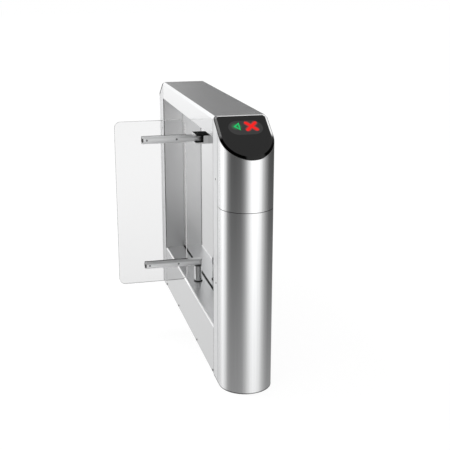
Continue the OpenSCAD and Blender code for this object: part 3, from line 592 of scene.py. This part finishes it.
# How dark and how dull the marks are
DARK = {"fold_shade": 0.75, "panel_shadow": 0.9, "foot": 0.7, "joint": 0.7, "sill": 0.12, "corner": 0.45,
        "ring": 0.85, "shade": 0.3}
DULL = {"wall": 0.12, "flank": 0.3, "panel_shadow": 0.6, "joint": 0.3, "sill": 0.16, "lip_highlight": 0.1,
        "inner": 0.3, "ring": 0.4, "black": 0.9}


def column_marks(s, x, y, z):
    """Dull end walls in the recess painted paler, which stands for light on them, with painted
    shade along the fold at their outer edge; dull flanks with a dark joint line beside each nose,
    where painted shade deepens the seam's gap; and painted shadow under the display panels and at
    the foot."""
    slope = s.id_data.turnstile_display.slope
    out, depth = abs(y) - s.recess_y, x - SKIN_X
    # Painted light: wall makes the end walls' colour paler
    wall = out.step(*WALL_OUT)
    # Painted shade: dark line along the rounded fold at the end walls' outer edge
    fold_shade = out.step(*FOLD_OUT) * depth.step(*FOLD_DEPTH)
    # Painted shadow under each display panel, thicker under the rear one
    under = out * math.sin(slope) + (z - TOP_Z) * math.cos(slope) + y.step(*REAR_END) * REAR_SHADOW
    panel_shadow = under.step(*SHADOW_UNDER) * out.step(*SHADOW_OUT) * x.step(*SHADOW_SIDE)
    # Painted contact shadow: dark line along the foot
    foot = z.step(*FOOT_HEIGHT)
    skin = depth.step(*FLANK_DEPTH)
    # Dark line at the seam beside each nose: the seam's gap, deepened with painted shade
    joint = abs(out - s.flank).step(*JOINT_WIDTH) * skin
    flank = skin * out.step(s.flank * FLANK_FADE, s.flank)
    dark = (fold_shade * DARK["fold_shade"]).at_least(panel_shadow * DARK["panel_shadow"]).at_least(
        foot * DARK["foot"]).at_least(joint * DARK["joint"])
    dull = (wall * DULL["wall"] + flank * DULL["flank"] + panel_shadow * DULL["panel_shadow"]
            + joint * DULL["joint"])
    return dark, dull, wall


def lower_marks(s, x, y, z):
    """Satin recess floor, a little darker than the skin, and a painted highlight that makes the
    lip along its outer edge paler, where the bend catches light.
    """
    depth, drop = x - SKIN_X, z - s.floor_z
    sill = depth.step(*SILL_DEPTH) * drop.step(*SILL_DROP)
    # Painted highlight along the bent lip of the recess floor
    lip_highlight = depth.step(*LIP_DEPTH) * drop.step(*LIP_DROP)
    return sill * DARK["sill"], sill * DULL["sill"] + lip_highlight * DULL["lip_highlight"], lip_highlight


def wall_marks(s, x, y, z):
    """Painted shade in the corners where the bright wall meets the end walls, and a dull inner
    side.
    """
    # Painted shade near each corner
    corner = (abs(y) - s.recess_y).step(*CORNER_OUT)
    return corner * DARK["corner"], x.step(*WALL_SIDE) * DULL["inner"], 0.0


def post_marks(s, x, y, z):
    """Painted shadow: a dark ring on the post under the lower arm's hub."""
    # Painted shadow where the lower arm's hub sits on the post
    ring = (z - s.ring_z).step(*RING_DROP)
    return ring * DARK["ring"], ring * DULL["ring"], 0.0


def bracket_marks(s, x, y, z):
    """Black pad over the upper plate, black inside the clevis, and a painted highlight that
    makes the front face paler.
    """
    lift = z - s.arm_z
    pad = lift.step(*PAD_LIFT) * x.step(*PAD_SIDE)
    inner_black = abs(lift).step(*INNER_BLACK_LIFT) * x.step(*INNER_BLACK_SIDE)
    black = pad.at_least(inner_black)
    # Painted highlight: the third value makes the bracket's front face paler
    return black, black * DULL["black"], y.step(*BRACKET_HIGHLIGHT_FACE)


def arm_marks(s, x, y, z):
    """Black end of the liner in the slot at each free end, and painted shade that darkens the
    upper side of the lower arm."""
    lift = z - s.arm_mid
    slot = abs(abs(lift) - s.arm_half).step(*SLOT_LIFT) * x.step(*SLOT_END)
    # Painted shade on the lower arm's upper side
    shade = (lift + s.arm_half).step(*SHADE_LIFT) * lift.step(*LOWER_ARM)
    return slot.at_least(shade * DARK["shade"]), 0.0, 0.0


# Metals, paint and circuit boards: colour, roughness, share of metal, waves of the fleck to a
# metre, and strength of its bump
METALS = {
    "zinc_grey": ((0.36, 0.37, 0.38), 0.42, 1.0, 220.0, 0.08),
    "machined_steel": ((0.5, 0.505, 0.51), 0.28, 1.0, 500.0, 0.08),
    "fastener_steel": ((0.22, 0.22, 0.225), 0.3, 1.0, 700.0, 0.08),
    "seam_dark": ((0.03, 0.031, 0.032), 0.5, 1.0, 500.0, 0.08),
    # Painted shade: the recess ceiling is made near black, since its underside lies in shade
    "ceiling_painted_shade": ((0.045, 0.046, 0.048), 0.5, 1.0, 500.0, 0.08),
    "screw_black_oxide": ((0.05, 0.05, 0.052), 0.4, 1.0, 700.0, 0.08),
    "cast_alloy": ((0.58, 0.59, 0.6), 0.48, 1.0, 350.0, 0.2),
    "motor_black": ((0.03, 0.03, 0.032), 0.38, 0.0, 300.0, 0.08),
    "board_green": ((0.015, 0.1, 0.045), 0.36, 0.0, 220.0, 0.08)}
# Plastic and rubber: tone, roughness, waves of the grain to a metre, and strength of its bump
BLACKS = {
    "moulded_black": (0.016, 0.42, 900.0, 0.12),
    "rubber_black": (0.012, 0.7, 600.0, 0.2)}
CAP_BLACK = (0.04, 0.4, 900.0, 0.12)
# The CAD pieces that wear each finish
WORN_BY = {
    "skin_upright_grain": "front_column rear_column front_nose_lower front_nose_upper "
                          "rear_nose_lower rear_nose_upper service_door",
    "skin_level_grain": "top_cover",
    "skin_lower_cover": "lower_cover",
    "recess_bright_wall": "back_wall",
    "ceiling_painted_shade": "recess_ceiling",
    "seam_dark": "seam_bands",
    "arm_satin": "upper_arm lower_arm",
    "bracket_polished": "upper_bracket",
    "post_polished": "drive_post",
    "zinc_grey": "base_plate top_rails sill_rails drive_bridge bridge_posts stop_blocks "
                 "sensor_bracket electronics_plate door_pivot_brackets",
    "machined_steel": "upper_pivot_pin bearing_cartridge shaft_bearings door_pivot_pins "
                      "drive_shaft wing_gear stop_arm position_disc drive_pinion upper_lock_cam "
                      "lower_lock_cam",
    "fastener_steel": "bracket_screws arm_bolts lock_barrels",
    "screw_black_oxide": "panel_screws",
    "cast_alloy": "gearbox power_supply",
    "motor_black": "drive_motor",
    "board_green": "led_boards control_board",
    "moulded_black": "display_frames card_readers sensor_bodies post_collar position_sensor "
                     "upper_arm_bush",
    "rubber_black": "floor_strip stop_bumpers glass_gaskets sensor_lenses"}


class TURNSTILE_OT_steel(Operator):
    """Give every CAD piece of the cabinet, the wing and the drive its finish."""

    bl_idname = "turnstile.steel"
    bl_label = "Steel and drive finishes"

    def execute(self, context):
        finishes = self.sheets(context.scene.turnstile_steel)
        finishes.update((name, plain_metal(name, *look)) for name, look in METALS.items())
        finishes.update((name, soft_black(name, *look)) for name, look in BLACKS.items())
        for name, pieces in WORN_BY.items():
            for piece in pieces.split():
                dress(NODES[piece], finishes[name])
        return {"FINISHED"}

    @staticmethod
    def sheets(s):
        """Brushed, satin and polished steel, with the marks of the pieces that wear it."""
        skin, polish = tuple(s.skin_colour), tuple(s.polished_colour)
        made = (
            brushed_steel(s, "skin_upright_grain", skin, s.skin_roughness, marks=column_marks),
            brushed_steel(s, "skin_level_grain", skin, s.skin_roughness, GRAIN_ALONG),
            brushed_steel(s, "skin_lower_cover", skin, s.skin_roughness, GRAIN_ALONG,
                          marks=lower_marks),
            brushed_steel(s, "recess_bright_wall", tuple(s.wall_colour), s.wall_roughness,
                          GRAIN_ALONG, bump=0.01, marks=wall_marks),
            brushed_steel(s, "arm_satin", tuple(s.satin_colour), s.arm_roughness, GRAIN_ARM,
                          bump=0.03, marks=arm_marks, metallic=s.satin_metallic),
            brushed_steel(s, "bracket_polished", polish, s.bracket_roughness, GRAIN_ALONG,
                          bump=0.01, marks=bracket_marks, metallic=s.satin_metallic),
            brushed_steel(s, "post_polished", polish, s.post_roughness, bump=0.03,
                          marks=post_marks))
        return {sheet.name: sheet for sheet in made}


# Places on a display panel in metres, across it and down its slope, and the window and the haze
# round the signs as bars with round ends
WINDOW_MIDDLE, WINDOW_HALF, WINDOW_RADIUS = (0.006, 0.071), 0.0265, 0.0355
ARROW_MIDDLE, ARROW_HALF, ARROW_RADIUS = (-0.026, 0.064), 0.003, 0.010
CROSS_MIDDLE, CROSS_HALF = (0.028, 0.065), 0.022
# Shares of the side and the height along a bar of the cross
CROSS_SLANT = (0.69, 0.72)
# Edges in metres, each from where a part begins to where it is full
WINDOW_EDGE, RED_HAZE, GREEN_HAZE = (0.0008, -0.0008), (0.0125, 0.004), (0.010, -0.004)
RIM_TOP, HIGHLIGHT_DOWN, HIGHLIGHT_OUT = (-0.0002, -0.0006), (0.125, 0.1), (0.0006, 0.0012)
SHEEN_LEFT, SHEEN_RIGHT, SHEEN_DOWN = (-0.029, -0.017), (0.048, 0.036), (0.1, 0.12)
# How far the dust, the window and the rim change the panel's roughness
DUST_GLOSS, WINDOW_DULL, RIM_GLOSS = 0.05, 0.1, 0.04
# Share of the arrow's haze, a haze too faint to colour, and tones of the rim: black, a painted
# highlight and a painted reflection
GREEN_SHARE, FAINT = 0.4, 0.001
RIM_BLACK, RIM_HIGHLIGHT, RIM_SHEEN = grey(0.002), grey(0.8), grey(0.09)


class TURNSTILE_OT_display(Operator):
    """Finish the black display panels, their window and the lit arrow and cross."""

    bl_idname = "turnstile.display"
    bl_label = "Display panels"

    def execute(self, context):
        s = context.scene.turnstile_display
        made = self.panel(s)
        for name in ("front_display_cover", "rear_display_cover"):
            dress(NODES[name], made)
        dress(NODES["arrow_lights"], self.lamp("arrow_light", tuple(s.green), s.arrow_strength))
        dress(NODES["cross_lights"], self.lamp("cross_light", tuple(s.red), s.cross_strength))
        return {"FINISHED"}

    def panel(self, s):
        """On both ends u runs across the panel, v down its slope and w out of it. The haze round
        a sign is painted glow that fades with the distance from its bar. The rim is the panel's
        side:
        black, with a painted highlight beside the upper half of the front panel and a faint
        painted reflection at the bottom."""
        made, tree = new_material("display_black_gloss")
        point, x, y, z = tree.place()
        u = y.math("SIGN") * x * -1.0
        out, rise = abs(y) - s.start, z - TOP_Z
        v = out * math.cos(s.slope) - rise * math.sin(s.slope)
        w = out * math.sin(s.slope) + rise * math.cos(s.slope)
        rim = (w - s.thickness).step(*RIM_TOP)
        # Painted highlight on the rim beside the upper half of the front panel
        bright = rim * v.step(*HIGHLIGHT_DOWN) * w.step(*HIGHLIGHT_OUT) * y.step(*FRONT_END)
        # Painted reflection: a faint sheen low on the rim
        sheen = rim * u.step(*SHEEN_LEFT) * u.step(*SHEEN_RIGHT) * v.step(*SHEEN_DOWN)
        window = self.stadium(u - WINDOW_MIDDLE[0], v - WINDOW_MIDDLE[1], WINDOW_HALF,
                              WINDOW_RADIUS)
        inside = window.step(*WINDOW_EDGE)
        side, height = abs(u - CROSS_MIDDLE[0]), abs(v - CROSS_MIDDLE[1])
        across, along = CROSS_SLANT
        cross = self.stadium(side * across + height * along, side * along - height * across,
                             CROSS_HALF, 0.0)
        arrow = self.stadium(u - ARROW_MIDDLE[0], v - ARROW_MIDDLE[1], ARROW_HALF, ARROW_RADIUS)
        # Painted glow: the haze round each sign lights the panel itself
        red = cross.step(*RED_HAZE) * inside
        green = arrow.step(*GREEN_HAZE) * inside * GREEN_SHARE
        glow = tree.blend(red / (red + green + FAINT), (*s.green, 1.0), (*s.red, 1.0))
        base = tree.blend(inside, grey(s.panel_level), grey(s.window_level))
        for share, tone in ((rim, RIM_BLACK), (bright, RIM_HIGHLIGHT), (sheen, RIM_SHEEN)):
            base = tree.blend(share, base, tone)
        dust = tree.noise(point, (60.0,) * 3, 4.0)
        tree.surface(
            Base_Color=base, Metallic=rim,
            Roughness=(s.roughness + (dust - 0.5) * DUST_GLOSS + inside * WINDOW_DULL
                       - rim * RIM_GLOSS),
            Emission_Color=tree.blend((red + green).at_most(1.0), grey(0.0), glow),
            Emission_Strength=s.glow, IOR=1.5)
        return made

    @staticmethod
    def stadium(u, v, half, radius):
        """Distance outside a bar of the given half length along u with round ends."""
        along = (abs(u) - half).at_least(0.0)
        return (along * along + v * v).math("SQRT") - radius

    @staticmethod
    def lamp(name, colour, strength):
        """Lit sign: even light with a fine pitch of light points, and hardly any shine."""
        made, tree = new_material(name)
        point = tree.place()[0]
        dots = tree.noise(point, (700.0,) * 3, 1.0)
        tree.surface(Base_Color=grey(0.01), Roughness=0.5, IOR=1.1, Emission_Strength=strength,
                     Emission_Color=tree.blend(dots, scaled(colour, 0.85), scaled(colour, 1.0)))
        return made


class TURNSTILE_OT_wing(Operator):
    """Make the glass pane with its polished edge, in place of the plain CAD pane."""

    bl_idname = "turnstile.wing"
    bl_label = "Glass wing"

    def execute(self, context):
        s = context.scene.turnstile_wing
        low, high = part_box("wing_glass")
        pane = self.pane(context, s, low, high)
        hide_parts("wing_glass")
        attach(pane, "wing")
        return {"FINISHED"}

    @staticmethod
    def pane(context, s, low, high):
        """Outline: a rectangle whose corners are quarter circles. Section: two faces joined by an
        edge with a bevel on each side, carried round the outline. A point lies at its corner's
        centre plus the corner's radius, less the section's inset, times the cosine along x and
        the sine along z of its angle."""
        turn = np.linspace(0, np.pi / 2, s.corner_steps + 1)
        corners = []
        for i, (sx, sz) in enumerate(((1, 1), (-1, 1), (-1, -1), (1, -1))):
            angle = turn + i * np.pi / 2
            cx = (high.x if sx > 0 else low.x) - sx * s.corner
            cz = (high.z if sz > 0 else low.z) - sz * s.corner
            corners.append(np.stack([np.full_like(angle, cx), np.full_like(angle, cz),
                                     np.cos(angle), np.sin(angle)], -1))
        outline = np.concatenate(corners)
        middle, half = (high.y + low.y) / 2, (high.y - low.y) / 2
        depth = np.array([-half, -half, s.arris - half, half - s.arris, half, half])
        inset = np.array([s.face_inset, s.arris, 0.0, 0.0, s.arris, s.face_inset])
        reach = s.corner - inset[:, None]
        x = outline[:, 0] + outline[:, 2] * reach
        z = outline[:, 1] + outline[:, 3] * reach
        y = np.broadcast_to(middle + depth[:, None], x.shape)
        points = np.stack([x, y, z], -1).reshape(-1, 3)
        rings, count = len(depth), len(outline)
        faces = ring_faces(rings, count)[:, ::-1].tolist()
        faces += [list(range(count)), list(range((rings - 1) * count, rings * count))[::-1]]
        piece = add_piece(context, "glass_pane", points.tolist(), faces)
        dress(piece, glass_faces(tuple(s.tint)), glass_edge(tuple(s.tint)))
        kinds = np.zeros(len(faces), int)
        kinds[count:(rings - 2) * count] = 1
        piece.data.polygons.foreach_set("material_index", kinds)
        piece.data.update()
        return piece


class TURNSTILE_OT_caps(Operator):
    """Make the domed caps that show as dark dots along the foot of the lower cover."""

    bl_idname = "turnstile.caps"
    bl_label = "Screw caps"

    def execute(self, context):
        """Each ring's radius is the cap's radius times the cosine of its angle above the skin,
        and it stands out by the cap's height times the sine of that angle."""
        s = context.scene.turnstile_caps
        low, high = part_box("panel_screws")
        outer = high.y - s.head
        rise = np.linspace(0, np.pi / 2, s.rings + 1)[:-1, None]
        turn = np.linspace(0, 2 * np.pi, s.sides, endpoint=False)[None, :]
        dome = np.stack([-s.height * np.sin(rise) + 0 * turn,
                         s.radius * np.cos(rise) * np.cos(turn),
                         s.radius * np.cos(rise) * np.sin(turn)], -1).reshape(-1, 3)
        shell = ring_faces(s.rings, s.sides)[:, ::-1]
        foot = np.arange(s.sides)
        tip = foot[::-1] + (s.rings - 1) * s.sides
        points, faces = [], []
        for i, y in enumerate((-outer, -s.inner, s.inner, outer)):
            points.append(dome + (low.x, y, (low.z + high.z) / 2))
            start = i * len(dome)
            faces += (shell + start).tolist() + [(foot + start).tolist(), (tip + start).tolist()]
        piece = add_piece(context, "screw_caps", np.concatenate(points).tolist(), faces)
        piece.data.polygons.foreach_set("use_smooth", np.full(len(faces), True))
        piece.data.update()
        dress(piece, soft_black("cap_black", *CAP_BLACK))
        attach(piece, "cabinet")
        return {"FINISHED"}


# Refraction of the pane, how much of the tint is left at its foot and edge, and the heights
# between which it fades
PANE_IOR, FADED_TINT, FADE_Z = 1.4, 0.9, (0.85, 0.2)
# Noise below which the pane is clear, and how rough the wiping marks above it are
SMEAR_START, SMEAR_ROUGHNESS = 0.45, 0.06


def glass_faces(tint):
    """Clear toughened glass, a little greyer towards the floor, with wiping marks in its gloss."""
    made, tree = new_material("pane_clear")
    point, _, _, height = tree.place()
    smear = tree.noise(point, (6.0, 6.0, 11.0), 4.0)
    tone = tree.blend(height.step(*FADE_Z), (*tint, 1.0), scaled(tint, FADED_TINT))
    tree.surface(Base_Color=tone, IOR=PANE_IOR, Transmission_Weight=1.0,
                 Roughness=(smear - SMEAR_START).at_least(0.0) * SMEAR_ROUGHNESS)
    return made


def glass_edge(tint):
    """Polished edge of the pane, a little greyer than the faces."""
    made, tree = new_material("pane_edge")
    point = tree.place()[0]
    wave = tree.noise(point, (40.0,) * 3, 2.0)
    tree.surface(Base_Color=tree.blend(wave, grey(0.7), scaled(tint, FADED_TINT)),
                 Roughness=0.12, IOR=PANE_IOR, Transmission_Weight=0.7)
    return made


class TURNSTILE_PT_panel(Panel):
    """Lists the settings and the steps that make the turnstile."""

    bl_idname = "TURNSTILE_PT_panel"
    bl_label = "Turnstile"
    bl_space_type = "VIEW_3D"
    bl_region_type = "UI"
    bl_category = "Turnstile"

    def draw(self, context):
        for step, group in STEPS:
            box = self.layout.box()
            box.operator(step.bl_idname)
            settings = getattr(context.scene, group)
            for name in settings.__annotations__:
                box.prop(settings, name)


STEPS = ((TURNSTILE_OT_stage, "turnstile_studio"), (TURNSTILE_OT_steel, "turnstile_steel"),
         (TURNSTILE_OT_display, "turnstile_display"), (TURNSTILE_OT_wing, "turnstile_wing"),
         (TURNSTILE_OT_caps, "turnstile_caps"))
GROUPS = {"turnstile_studio": StudioSettings, "turnstile_steel": SteelSettings,
          "turnstile_display": DisplaySettings, "turnstile_wing": WingSettings,
          "turnstile_caps": CapSettings}
CLASSES = (*GROUPS.values(), *(step for step, _ in STEPS), TURNSTILE_PT_panel)


def register():
    for made in CLASSES:
        bpy.utils.register_class(made)
    for name, group in GROUPS.items():
        setattr(bpy.types.Scene, name, PointerProperty(type=group))


def unregister():
    for name in GROUPS:
        delattr(bpy.types.Scene, name)
    for made in reversed(CLASSES):
        bpy.utils.unregister_class(made)


def main():
    """Registers the add-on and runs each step."""
    register()
    bpy.ops.turnstile.stage()
    bpy.ops.turnstile.steel()
    bpy.ops.turnstile.display()
    bpy.ops.turnstile.wing()
    bpy.ops.turnstile.caps()


if __name__ == "__main__":
    main()
